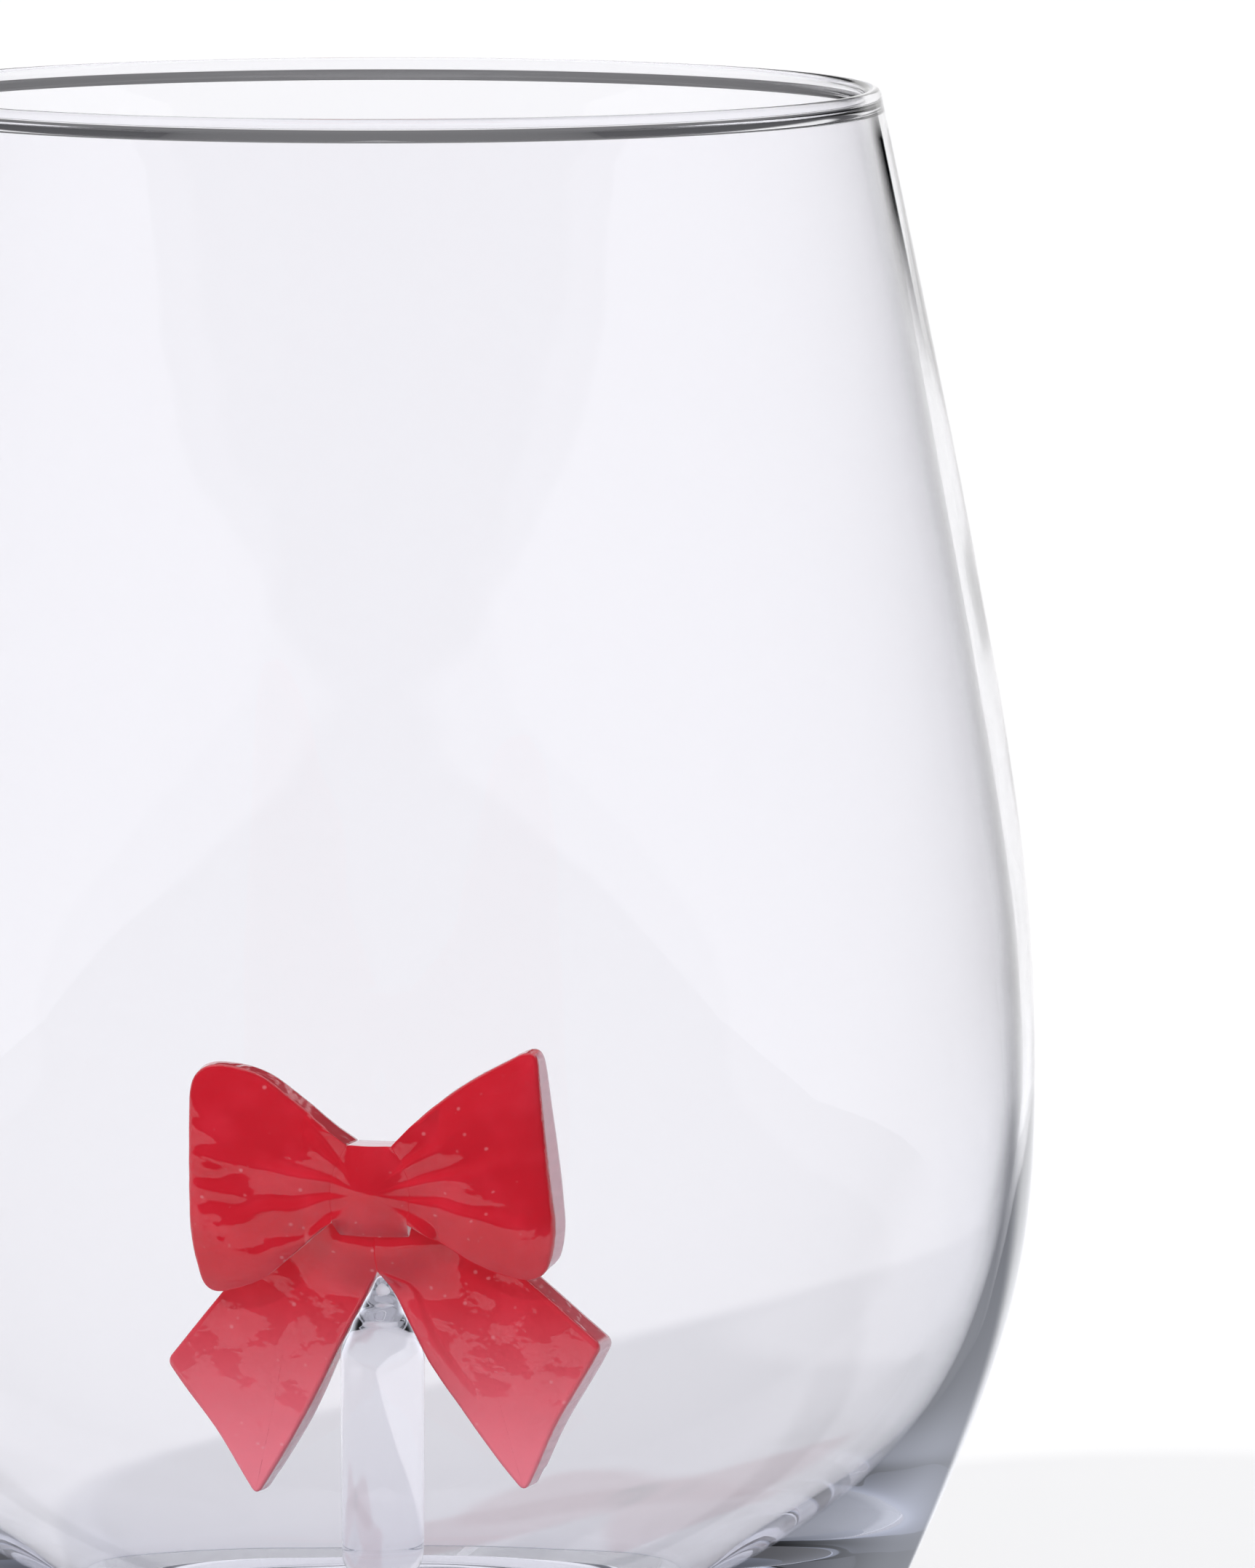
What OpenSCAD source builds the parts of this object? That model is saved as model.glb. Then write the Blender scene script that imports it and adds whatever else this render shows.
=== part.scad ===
// Stemless water glass with a red bow on a clear stalk, fused to the inside floor.
// Millimetres, +Z up. The origin is the centre of the base, on the surface that the glass stands on.
// The bow faces -Y, and its loops reach along X.

/* [Bowl outside] */
// Height of the rim above the table
bowl_h = 121.4; // [114:0.2:130]
// Outer diameter of the rim
rim_d = 70.2; // [64:0.2:76]
// Diameter of the fire-polished bead round the rim
bead_d = 1.2; // [1:0.1:1.6]
// Slope of the bevel from the bead to the inner wall, from upright, in degrees
bevel_lean = 46; // [38:1:54]
// Lean of the wall at the rim, from upright, in degrees
rim_lean = 12; // [8:0.5:15]
// Length over which the wall keeps the rim's lean
rim_pull = 48; // [36:1:54]
// Outer diameter of the belly, the widest place
belly_d = 92; // [84:0.5:100]
// Height of the belly above the table
belly_z = 51; // [47:0.2:55]
// Length over which the wall stays upright above the belly
belly_pull_up = 14.2; // [8:0.2:20]
// Length over which the wall stays upright below the belly
belly_pull_down = 13.8; // [10:0.2:20]
// Outer diameter where the wall turns into the heel
heel_d = 66.4; // [63:0.2:70]
// Height of the heel above the table
heel_z = 8; // [5:0.2:10]
// Slope of the wall at the heel, from level, in degrees
heel_slope = 65; // [55:1:75]
// Length over which the lower wall keeps the heel's slope
heel_pull = 25.8; // [18:0.2:30]
// Outer diameter of the flat ring that the glass stands on
base_d = 55; // [50:0.5:58]
// Width of that flat ring
base_land = 4; // [2:0.5:8]
// Height of the hollow under the base
punt_h = 1.5; // [0.5:0.1:3]

/* [Bowl inside] */
// Thickness of the wall just below the bead
rim_wall = 0.6; // [0.5:0.1:1]
// Thickness towards which the wall swells below the rim
shoulder_wall = 2.1; // [1.2:0.1:2.6]
// Thickness of the wall at the belly
belly_wall = 0.9; // [0.8:0.1:2]
// Thickness of the floor at its centre
floor_wall = 5; // [3:0.5:7]
// Diameter of the level middle of the floor
floor_d = 24.4; // [18:0.2:30]
// Length over which the floor runs out level from its middle
floor_pull = 8; // [6:0.2:14]
// Length over which the inner wall stays upright below the belly
well_pull = 30; // [24:0.5:34]

/* [Stalk] */
// Diameter of the clear stalk
stalk_d = 6; // [5:0.2:7]
// Diameter of the neck above the weld
neck_d = 5.2; // [4:0.2:6]
// Height of the neck above the floor
neck_h = 3.2; // [2:0.2:5]
// Diameter of the weld on the floor
weld_d = 8.6; // [7:0.2:12]
// Half angle of the pointed tip and of the notch that it sits in, in degrees
notch_angle = 27.5; // [24:0.5:32]
// Diameter of the small flat on the tip
tip_flat = 0.6; // [0.4:0.1:1]

/* [Bow] */
// Height of the middle of the knot above the table
knot_z = 43.5; // [41:0.1:48]
// Height of the knot
knot_h = 7.6; // [6.4:0.2:8.4]
// Width of the knot at its middle
knot_w = 5.8; // [5:0.2:7]
// How much narrower the knot is at its top
knot_waist = 2.6; // [0.6:0.2:3]
// How much narrower the knot is at its bottom
knot_foot = 0.8; // [0.2:0.2:2]
// Thickness of the loops at their edge
loop_edge = 2.2; // [1.6:0.1:3]
// Swell of the loops over their edge
loop_crown = 0.9; // [0.3:0.1:1.4]
// Thickness of the knot at its edge
knot_edge = 3; // [2.4:0.1:3.6]
// Swell of the knot over its edge
knot_crown = 0.8; // [0.4:0.1:1.4]
// Thickness of the tails
tail_t = 2.8; // [2:0.1:4]
// Distance of the face between tails and loops in front of the axis
layer_y = 0.4; // [0.2:0.1:1]
// Outward slope of the edges over the thickness of a piece
draft = 0.4; // [0.2:0.1:0.8]
// Rounding of the front edges
edge_round = 0.4; // [0.2:0.1:0.7]
// Depth of the pleats in the loops, from crest to mean
pleat_depth = 0.3; // [0.1:0.02:0.4]
// Angle from one pleat to the next, in degrees
pleat_pitch = 27; // [20:1:36]
// Angle of the middle pleat above level, in degrees
pleat_tilt = 11; // [0:1:16]

/* [Left loop] */
// Reach of the left loop from the axis
left_reach = 13.5; // [12:0.1:15]
// Top of the left loop above the knot's middle
left_rise = 9.6; // [8.6:0.1:11]
// Bottom of the left loop below the knot's middle
left_drop = 8.9; // [7.6:0.1:9.6]
// Rounding of its upper corner
left_corner = 2.2; // [1.2:0.1:2.6]

/* [Right loop] */
// Reach of the right loop from the axis
right_reach = 13; // [12:0.1:15]
// Top of the right loop above the knot's middle
right_rise = 11.3; // [9.6:0.1:12]
// Bottom of the right loop below the knot's middle
right_drop = 7; // [6:0.1:8]
// Lean of its outer side over its height
right_lean = 1.6; // [0:0.1:3]
// Rounding of its upper corner
right_corner = 1.6; // [0.5:0.1:2.4]

/* [Left tail] */
// Reach of the left tail from the axis
left_tail_reach = 15.9; // [14:0.1:17]
// Depth of its outer corner below the knot's middle
left_tail_corner = 14.2; // [13:0.1:15]
// Distance of its point from the axis
left_tip_x = 9.4; // [8.4:0.1:10.4]
// Depth of its point below the knot's middle
left_tip_drop = 25.5; // [24:0.1:26.5]

/* [Right tail] */
// Reach of the right tail from the axis
right_tail_reach = 16.1; // [14.5:0.1:18]
// Depth of its outer corner below the knot's middle
right_tail_corner = 11.7; // [10.8:0.1:12.8]
// Distance of its point from the axis
right_tip_x = 10.6; // [9.4:0.1:12]
// Depth of its point below the knot's middle
right_tip_drop = 24; // [22.5:0.1:25.5]
// Height of the fold along its inner edge
fold_h = 0.4; // [0.2:0.1:0.7]
// Distance from the axis at which the fold ends
fold_end = 6.8; // [5:0.2:9]

/* [Hidden] */

glass_colour = [0.9, 0.9, 0.95, 0.35];
red_colour = [0.78, 0.05, 0.14];
tail_colour = [0.86, 0.24, 0.34];

// Steps along a long wall, round a bend and round a corner of an outline
wall_steps = 16;
bend_steps = 6;
corner_steps = 4;
seam_steps = 6;
turn_fn = 128;
// Longest straight step along an outline
outline_step = 1.3;
// Rings of a moulded front, as shares of the way from its hub to its outline
full_rings = [0.16, 0.36, 0.56, 0.74, 0.88, 0.96, 1];
flat_rings = [0.94, 1];
fold_rings = [0.4, 0.66, 0.76, 0.94, 1];
// Share at which the fold starts to rise, and the share and the width over which it rises and fades
fold_start = 0.66;
fold_rise = 0.1;
fold_fade = 2.4;
// How much flatter the knot's swell is at its top and bottom
knot_flat = 0.45;

// Bends of a loop's outline, as shares of its reach and of its rise or drop
loop_low_bend = [0.62, 0.88];
loop_side_bend = 0.5;
left_top_bend = [0.64, 0.95];
right_top_bend = [0.5, 0.76];
loop_neck_bend = [0.3, 0.57];
loop_hub = [0.58, 0.3];
loop_toe_in = 1;
loop_toe_round = 1.6;
long_round = 2;
neck_round = 1.2;
// Bends of a tail's outline: how far its end is cut in, and where it passes behind the knot
tail_end_cut = 0.7;
tail_hub = [0.44, 0.85];
tail_arm = [9.7, 6.4];
tail_shoulder = [5.2, 2];
tail_top_drop = 0.4;
tail_corner_round = 0.6;
tail_tip_round = 1;
tail_seam = 4;
// Width over which an edge goes over from square and full, beside a seam, to rounded and sloping
slope_run = 2;
// Glass of the tails between the knot and the notch
notch_web = 2.9;
// Steps over the outer quarter of the bead, and over its top and inside down to the bevel
bead_outer_steps = 4;
bead_inner_steps = 7;
quarter_turn = 90;
// Foot of the stalk: where the weld turns up, and the length over which the neck swells
weld_turn = 0.4;
neck_swell = 2.6;

rim_r = rim_d / 2;
belly_r = belly_d / 2;
heel_r = heel_d / 2;
base_r = base_d / 2;
land_r = base_r - base_land;
floor_r = floor_d / 2;
floor_z = punt_h + floor_wall;
bead_r = bead_d / 2;
rim_z = bowl_h - bead_r;
stalk_r = stalk_d / 2;
neck_r = neck_d / 2;
neck_z = floor_z + neck_h;
knot_top = knot_z + knot_h / 2;
knot_low = knot_z - knot_h / 2;
notch_z = knot_low - notch_web;
shoulder_z = notch_z - stalk_r / tan(notch_angle);
loop_seam = knot_w / 2;

function mix(a, b, t) = a + t * (b - a);
function unit(v) = v / norm(v);
function ramp(x) = min(1, max(0, x));
function point(corner) = [corner[0], corner[1]];
function without_first(path) = [for (i = [1:len(path) - 1]) path[i]];
function reversed(path) = [for (i = [len(path) - 1:-1:0]) path[i]];

// Cubic curve from a to d, drawn towards b and c on its way
function bezier(a, b, c, d, t) =
    pow(1 - t, 3) * a + 3 * pow(1 - t, 2) * t * b + 3 * (1 - t) * t * t * c + pow(t, 3) * d;
function curve(a, b, c, d, n) = [for (i = [0:n]) bezier(a, b, c, d, i / n)];
function lean_in(length, angle) = length * [sin(angle), -cos(angle)];
// Where the line from a along u meets the line from b along v
function meeting(a, u, b, v) = a + u * cross(b - a, v) / cross(u, v);

// Stretches of the bowl's section: up the outside from the axis, over the rim and down the inside
punt_curve = curve([0, punt_h], [land_r / 3, punt_h], [land_r * 2 / 3, punt_h], [land_r, 0], bend_steps);
heel_foot = [heel_r - heel_z / tan(heel_slope), 0];
heel_curve = curve(
    [base_r, 0], mix([base_r, 0], heel_foot, 2 / 3),
    mix([heel_r, heel_z], heel_foot, 2 / 3), [heel_r, heel_z], bend_steps);
lower_curve = curve(
    [heel_r, heel_z], [heel_r, heel_z] + heel_pull * [cos(heel_slope), sin(heel_slope)],
    [belly_r, belly_z - belly_pull_down], [belly_r, belly_z], wall_steps);
upper_curve = curve(
    [belly_r, belly_z], [belly_r, belly_z + belly_pull_up],
    [rim_r, rim_z] + lean_in(rim_pull, rim_lean), [rim_r, rim_z], wall_steps);
bead_turns = concat(
    [for (i = [1:bead_outer_steps]) quarter_turn * i / bead_outer_steps],
    [for (i = [1:bead_inner_steps]) quarter_turn + (quarter_turn + bevel_lean) * i / bead_inner_steps]);
bead_curve = [for (turn = bead_turns) [rim_r - bead_r, rim_z] + bead_r * [cos(turn), sin(turn)]];
inner_top = meeting(
    bead_curve[len(bead_curve) - 1], lean_in(1, bevel_lean),
    [rim_r - rim_wall / cos(rim_lean), rim_z], lean_in(1, rim_lean));
inner_curve = curve(
    inner_top, [rim_r - shoulder_wall, rim_z] + lean_in(rim_pull, rim_lean),
    [belly_r - belly_wall, belly_z + belly_pull_up], [belly_r - belly_wall, belly_z], wall_steps);
well_curve = curve(
    [belly_r - belly_wall, belly_z], [belly_r - belly_wall, belly_z - well_pull],
    [floor_r + floor_pull, floor_z], [floor_r, floor_z], wall_steps);

// Points round one corner of an outline, from a corner [x, z, rounding] and its two neighbours
function turn_points(before, corner, after) =
    let (here = point(corner))
    let (start = here + corner[2] * unit(point(before) - here))
    let (stop = here + corner[2] * unit(point(after) - here))
    [for (j = [0:corner_steps]) let (t = j / corner_steps) mix(mix(start, here, t), mix(here, stop, t), t)];

// An open run of corners, with its two ends kept sharp
function rounded(corners) = let (last = len(corners) - 1) concat(
    [point(corners[0])],
    [for (i = [1:last - 1]) each turn_points(corners[i - 1], corners[i], corners[i + 1])],
    [point(corners[last])]);

// The same run with more points on its long straight stretches
function filled(path) = concat(
    [for (i = [0:len(path) - 2])
        let (n = max(1, ceil(norm(path[i + 1] - path[i]) / outline_step)))
        for (j = [0:n - 1]) mix(path[i], path[i + 1], j / n)],
    [path[len(path) - 1]]);

// The knot is a barrel: half its width at height z, and its side from low to high
function knot_half(z) =
    let (t = (z - knot_z) / (knot_h / 2)) (knot_w - (t > 0 ? knot_waist : knot_foot) * t * t) / 2;
function knot_side(side) = [for (i = [0:seam_steps])
    let (z = mix(knot_low, knot_top, i / seam_steps)) [side * knot_half(z), z]];

// Pleats that fan out from the knot and fade towards the outer side and the free edge of a loop
function pleat(x, z, edge_share, reach) =
    let (turn = atan2(z - knot_z, abs(x)))
    let (fade = ramp(2 - 2 * norm([x, z - knot_z]) / reach) * (1 - pow(edge_share, 6)))
    pleat_depth * fade * cos(360 * (turn - pleat_tilt) / pleat_pitch);

// Swell of the knot, which is a barrel: full along its middle, none at its sides
function barrel(x, z) =
    (1 - pow(x / knot_half(z), 2)) * (1 - knot_flat * pow((z - knot_z) / (knot_h / 2), 2));

// A fold that rises beside the inner edge of a tail, from an outline's point p on that edge
function fold_lift(p, share) =
    fold_h * ramp((share - fold_start) / fold_rise)
    * ramp((fold_end - abs(p[0])) / fold_fade) * (p[1] <= notch_z ? 1 : 0);

// A moulded piece: an outline round a hub, with a swollen front and a flat back at y = back.
// The edges are rounded and slope outwards to the back. Beside the seam they stand square,
// and the swell is full.
// The form of the front is "pleats", "barrel", "fold" or "flat".
module moulded(form, outline, hub, rings, back, edge, crown, slope, seam, reach) {
    n = len(outline);
    function loose(q) = ramp((abs(q[0]) - seam) / slope_run);
    function relief(q, p, share) =
        form == "pleats"
            ? crown * (1 - pow(share, 3) * loose(q)) + pleat(q[0], q[1], share * loose(q), reach)
        : form == "barrel" ? crown * barrel(q[0], q[1])
        : form == "fold" ? fold_lift(p, share) : 0;
    function front(q, p, share) =
        back - edge - relief(q, p, share) + (share == 1 ? edge_round * loose(p) : 0);
    front_points = [for (share = rings) for (p = outline)
        let (q = mix(hub, p, share)) [q[0], front(q, p, share), q[1]]];
    back_points = [for (p = outline)
        let (q = p + slope * loose(p) * unit(p - hub)) [q[0], back, q[1]]];
    hub_points = [[hub[0], front(hub, hub, 0), hub[1]], [hub[0], back, hub[1]]];
    back_ring = len(rings) * n;
    front_hub = back_ring + n;
    bands = [for (start = [0:n:back_ring - n]) for (i = [0:n - 1])
        let (a = start + i, b = start + (i + 1) % n) each [[a, b, b + n], [a, b + n, a + n]]];
    fans = [for (i = [0:n - 1])
        let (next = (i + 1) % n)
        each [[front_hub, next, i], [back_ring + i, back_ring + next, front_hub + 1]]];
    polyhedron(concat(front_points, back_points, hub_points), concat(bands, fans), convexity = 6);
}

// A loop closes against the side of the knot: its seam takes the knot's own points
module loop(side, reach, rise, drop, lean, corner, top_bend) {
    seam = without_first(knot_side(side));
    low = seam[0];
    high = seam[len(seam) - 1];
    free = filled(rounded([
        low,
        [side * reach * loop_low_bend[0], knot_z - drop * loop_low_bend[1], long_round],
        [side * (reach - loop_toe_in), knot_z - drop, loop_toe_round],
        [side * reach, knot_z - drop * loop_side_bend, long_round],
        [side * (reach - lean), knot_z + rise, corner],
        [side * reach * top_bend[0], knot_z + rise * top_bend[1], long_round],
        [side * reach * loop_neck_bend[0], knot_z + rise * loop_neck_bend[1], neck_round],
        high]));
    round_trip = concat(free, [for (i = [len(seam) - 2:-1:1]) seam[i]]);
    hub = [side * reach * loop_hub[0], knot_z + (rise - drop) * loop_hub[1]];
    moulded(
        "pleats", side > 0 ? round_trip : reversed(round_trip), hub, full_rings,
        -layer_y, loop_edge, loop_crown, draft, loop_seam, reach);
}

// A tail lies behind the loops. It meets the other tail at the middle of the bow and
// leans against the stalk's tip along the notch.
module tail(side, form, rings, reach, corner_drop, tip_x, tip_drop) {
    lip = stalk_r + edge_round;
    inner = [side * lip, notch_z - lip / tan(notch_angle)];
    tip = [side * tip_x, knot_z - tip_drop];
    corner = [side * reach, knot_z - corner_drop];
    end_cut = mix(tip, corner, 0.5) - [side * tail_end_cut, 0];
    top = [0, knot_z - tail_top_drop];
    round_trip = filled(rounded([
        [0, notch_z],
        [inner[0], inner[1], edge_round],
        [tip[0], tip[1], tail_tip_round],
        [end_cut[0], end_cut[1], long_round],
        [corner[0], corner[1], tail_corner_round],
        [side * tail_arm[0], knot_z - tail_arm[1], long_round],
        [side * tail_shoulder[0], knot_z - tail_shoulder[1], long_round],
        top]));
    hub = [side * reach * tail_hub[0], knot_z - corner_drop * tail_hub[1]];
    moulded(
        form, side > 0 ? round_trip : reversed(round_trip), hub, rings,
        tail_t - layer_y, tail_t, 0, draft, tail_seam, 0);
}

module bowl() {
    section = concat(
        punt_curve, heel_curve, without_first(lower_curve), without_first(upper_curve), bead_curve,
        inner_curve, without_first(well_curve), [[0, floor_z]]);
    color(glass_colour) rotate_extrude($fn = turn_fn) polygon(section);
}

module stalk() {
    weld = curve(
        [weld_d / 2, floor_z], [neck_r, floor_z],
        [neck_r, mix(floor_z, neck_z, weld_turn)], [neck_r, neck_z], bend_steps);
    swelling = curve(
        [neck_r, neck_z], [neck_r, neck_z + neck_swell / 2],
        [stalk_r, neck_z + neck_swell / 2], [stalk_r, neck_z + neck_swell], bend_steps);
    tip_z = notch_z - tip_flat / 2 / tan(notch_angle);
    section = concat(
        [[0, floor_z]], weld, without_first(swelling),
        [[stalk_r, shoulder_z], [tip_flat / 2, tip_z], [0, tip_z]]);
    color(glass_colour) rotate_extrude($fn = turn_fn) polygon(section);
}

module left_tail() {
    color(tail_colour)
        tail(-1, "flat", flat_rings, left_tail_reach, left_tail_corner, left_tip_x, left_tip_drop);
}

module right_tail() {
    color(tail_colour)
        tail(1, "fold", fold_rings, right_tail_reach, right_tail_corner, right_tip_x, right_tip_drop);
}

module left_loop() {
    color(red_colour)
        loop(-1, left_reach, left_rise, left_drop, 0, left_corner, left_top_bend);
}

module right_loop() {
    color(red_colour)
        loop(1, right_reach, right_rise, right_drop, right_lean, right_corner, right_top_bend);
}

module knot() {
    outline = concat(knot_side(1), reversed(knot_side(-1)));
    color(red_colour)
        moulded("barrel", outline, [0, knot_z], full_rings, -layer_y, knot_edge, knot_crown, 0, knot_w, 0);
}

bowl();
stalk();
left_tail();
right_tail();
left_loop();
right_loop();
knot();
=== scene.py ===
# %% [markdown]
# # A stemless water glass with a red bow on a stalk
# The glass is blown clear glass. A bow of pressed red glass sits on a clear rod that is fused to the floor inside.
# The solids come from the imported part. This file dresses them: every piece is rebuilt as a fine smooth surface of
# the same size, because glass shows each facet, both in its mirror images and in what it bends.

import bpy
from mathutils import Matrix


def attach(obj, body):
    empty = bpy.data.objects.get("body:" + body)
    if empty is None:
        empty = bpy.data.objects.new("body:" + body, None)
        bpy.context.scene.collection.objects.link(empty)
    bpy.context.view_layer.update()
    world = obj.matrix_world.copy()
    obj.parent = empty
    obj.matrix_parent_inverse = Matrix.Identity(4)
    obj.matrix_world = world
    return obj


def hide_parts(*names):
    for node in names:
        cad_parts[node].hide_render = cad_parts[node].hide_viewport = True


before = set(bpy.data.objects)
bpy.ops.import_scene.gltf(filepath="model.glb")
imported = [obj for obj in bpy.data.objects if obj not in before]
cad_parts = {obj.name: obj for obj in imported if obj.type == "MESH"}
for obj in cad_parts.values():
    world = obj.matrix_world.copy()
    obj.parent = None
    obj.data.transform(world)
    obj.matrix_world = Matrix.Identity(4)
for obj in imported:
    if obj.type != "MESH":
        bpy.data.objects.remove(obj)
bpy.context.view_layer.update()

# %% [markdown]
# ## From a grid of points to a mesh
# All seven pieces are closed skins with a pole at each end: rows of points that run round, from a first pole to a
# last one. A modelling tool could lathe or extrude them, but a grid of numbers keeps the formula in sight.
# Sizes are written in millimetres, as on a drawing, and turned into metres once, here.

# %% Skin a grid
import bpy
import numpy as np

MM = 0.001


def poles_and_rows(grid):
    """The grid's points in one list: its first pole once, all rows between, its last pole once."""
    return np.concatenate([grid[0, :1], grid[1:-1].reshape(-1, *grid.shape[2:]), grid[-1, :1]])


def skin(name, grid, **marks):
    """A closed mesh from rows of points in mm, grid[row, place round]. Its first and last rows are poles, one
    point each. The rows between run round and close on themselves, and faces join each row to the next. The
    numbers in each mark, one for each point, are kept on the mesh for the finish."""
    rows, around = grid.shape[0] - 2, grid.shape[1]
    points = poles_and_rows(grid) * MM
    ring = np.arange(around)
    following = np.roll(ring, -1)
    start = 1 + around * np.arange(rows - 1)[:, None]
    bands = np.stack([start + ring, start + following, start + around + following, start + around + ring], axis=-1)
    first_fan = np.stack([np.zeros_like(ring), 1 + following, 1 + ring], axis=-1)
    last_row = 1 + around * (rows - 1)
    last_fan = np.stack([np.full_like(ring, len(points) - 1), last_row + ring, last_row + following], axis=-1)
    mesh = bpy.data.meshes.new(name)
    mesh.from_pydata(points.tolist(), [], first_fan.tolist() + bands.reshape(-1, 4).tolist() + last_fan.tolist())
    mesh.polygons.foreach_set("use_smooth", np.ones(len(mesh.polygons), dtype=bool))
    for mark, values in marks.items():
        mesh.attributes.new(mark, "FLOAT", "POINT").data.foreach_set("value", poles_and_rows(values))
    mesh.update()
    piece = bpy.data.objects.new(name, mesh)
    bpy.context.scene.collection.objects.link(piece)
    print(name, "has", len(mesh.polygons), "faces and", np.round(np.ptp(points, axis=0) / MM, 1), "mm")
    return piece


def dress(piece, node, material):
    """Lets a piece stand for a solid: it rides with it, hides it and takes its finish."""
    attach(piece, "root")
    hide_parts(node)
    piece.data.materials.append(material)


# %% [markdown]
# ## Shader sums in plain Python
# A finish is a small sum over noise and heights. Wiring each Math node by hand hides the sum, so a socket is
# wrapped in a class whose plus, minus and times add the nodes, and one method makes every other node.

# %% Wrap a socket
class Wire:
    """A socket in a node tree. Sums of wires and numbers add Math nodes."""

    def __init__(self, socket):
        self.socket = socket
        self.tree = socket.id_data

    @staticmethod
    def node(tree, kind, settings=None, sockets=None, out=0):
        """Adds a node of a kind, sets its settings, then fills or links its sockets, and returns one output."""
        made = tree.nodes.new(kind)
        for name, value in (settings or {}).items():
            setattr(made, name, value)
        for key, value in (sockets or {}).items():
            if isinstance(value, Wire):
                tree.links.new(value.socket, made.inputs[key])
            else:
                made.inputs[key].default_value = value
        return Wire(made.outputs[out])

    def maths(self, operation, *others, first=True):
        """A Math node on this wire and up to two more wires or numbers, in this order or with the other first."""
        values = [self, *others] if first else [*others, self]
        return Wire.node(self.tree, "ShaderNodeMath", {"operation": operation}, dict(enumerate(values)))

    def __add__(self, other):
        return self.maths("ADD", other)

    def __sub__(self, other):
        return self.maths("SUBTRACT", other)

    def __rsub__(self, other):
        return self.maths("SUBTRACT", other, first=False)

    def __mul__(self, other):
        return self.maths("MULTIPLY", other)

    __radd__ = __add__
    __rmul__ = __mul__

    def between(self, low, high):
        """0 below low, 1 above high and a smooth rise between them."""
        return Wire.node(self.tree, "ShaderNodeMapRange", {"interpolation_type": "SMOOTHSTEP"},
                         {"Value": self, "From Min": low, "From Max": high})

    def blend(self, first, second):
        """One of two colours, or wires of colour, chosen by this wire from 0 to 1."""
        return Wire.node(self.tree, "ShaderNodeMix", {"data_type": "RGBA"}, {0: self, 6: first, 7: second}, out=2)

    def along(self, direction):
        """How far a vector reaches along a direction."""
        return Wire.node(self.tree, "ShaderNodeVectorMath", {"operation": "DOT_PRODUCT"},
                         {0: self, 1: tuple(direction)}, out="Value")


def finish_tree(name):
    """A new material with an empty tree."""
    material = bpy.data.materials.new(name)
    material.use_nodes = True
    material.node_tree.nodes.clear()
    return material, material.node_tree


def marked(tree, mark):
    """The numbers that a mesh keeps under a mark, or 0 where it has none."""
    return Wire.node(tree, "ShaderNodeAttribute", {"attribute_name": mark}, out="Fac")


def filtered(shader, colour):
    """The shader for every look, and a plain filter of a colour for the rays that ask whether a lamp is hidden."""
    lamp = Wire.node(shader.tree, "ShaderNodeLightPath", out="Is Shadow Ray")
    clear = Wire.node(shader.tree, "ShaderNodeBsdfTransparent", None, {"Color": colour})
    return Wire.node(shader.tree, "ShaderNodeMixShader", None, {0: lamp, 1: shader, 2: clear})


def show(tree, shader, volume=None):
    """Ends a material's tree in its output node."""
    made = tree.nodes.new("ShaderNodeOutputMaterial")
    tree.links.new(shader.socket, made.inputs["Surface"])
    if volume is not None:
        tree.links.new(volume.socket, made.inputs["Volume"])


# %% [markdown]
# ## Clear glass
# Real clear glass bends light, mirrors a little of the room and takes a trace of colour, most along its edges,
# where a look goes through the most glass. The Principled shader does the first two and an absorbing volume the
# third. Lamps can't find their way through bent glass, so shadow rays meet a plain pale filter in its place: the
# shadow stays light, as under real glass. Blown glass is never quite even, so slow waves tilt its skin. What draws
# a glass on white is the dark room, bent in where a look grazes the inside of the wall. Here it is painted shade: a
# dark line, sharp outside and soft inside, drawn from the angle of the look where the mesh is marked for it. Light
# that is caught in the heavy base comes out along its edge, and a faint painted glow there stands for it.

# %% Make the clear glass
def clear_glass():
    """Clear glass: refraction, slow waves in the skin, lavender in the depth, painted dark lines and a painted glow
    where a look grazes a marked skin, and a pale filter for lamps."""
    material, tree = finish_tree("clear_glass")
    place = Wire.node(tree, "ShaderNodeTexCoord", out="Object")
    waves = Wire.node(tree, "ShaderNodeTexNoise", {"noise_dimensions": "3D"},
                      {"Vector": place, "Scale": 70.0, "Detail": 1.0, "Roughness": 0.4})
    skin_tilt = Wire.node(tree, "ShaderNodeBump", None, {"Strength": 0.03, "Distance": 0.002, "Height": waves})
    facing = Wire.node(tree, "ShaderNodeLayerWeight", None, {"Blend": 0.5}, out="Facing")
    # Painted shade: a dark coat at grazing looks stands for the dark room bent in by the wall.
    inner_line = marked(tree, "inner_line") * facing.between(0.74, 0.93)
    outer_line = marked(tree, "outer_line") * facing.between(0.72, 0.81) * facing.between(0.835, 0.82)
    # Painted glow: emission at grazing looks on the base and the stalk's point, though glass is no lamp.
    gathered_light = marked(tree, "glow") * facing.between(0.35, 0.75)
    glass = Wire.node(tree, "ShaderNodeBsdfPrincipled", None, {
        "Base Color": (0.982, 0.978, 1.0, 1.0), "Roughness": 0.0, "IOR": 1.46, "Transmission Weight": 1.0,
        "Coat Weight": inner_line + outer_line, "Coat IOR": 1.0, "Coat Tint": (0.3, 0.3, 0.32, 1.0),
        "Emission Color": gathered_light.blend((0, 0, 0, 1), (0.42, 0.44, 0.5, 1.0)), "Emission Strength": 1.0,
        "Normal": skin_tilt})
    surface = filtered(glass, (0.88, 0.88, 0.885, 1.0))
    depth = Wire.node(tree, "ShaderNodeVolumeAbsorption", None, {"Color": (0.75, 0.78, 0.9, 1.0), "Density": 12.0})
    show(tree, surface, depth)
    return material


glass_finish = clear_glass()
print("finish:", glass_finish.name)
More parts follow.
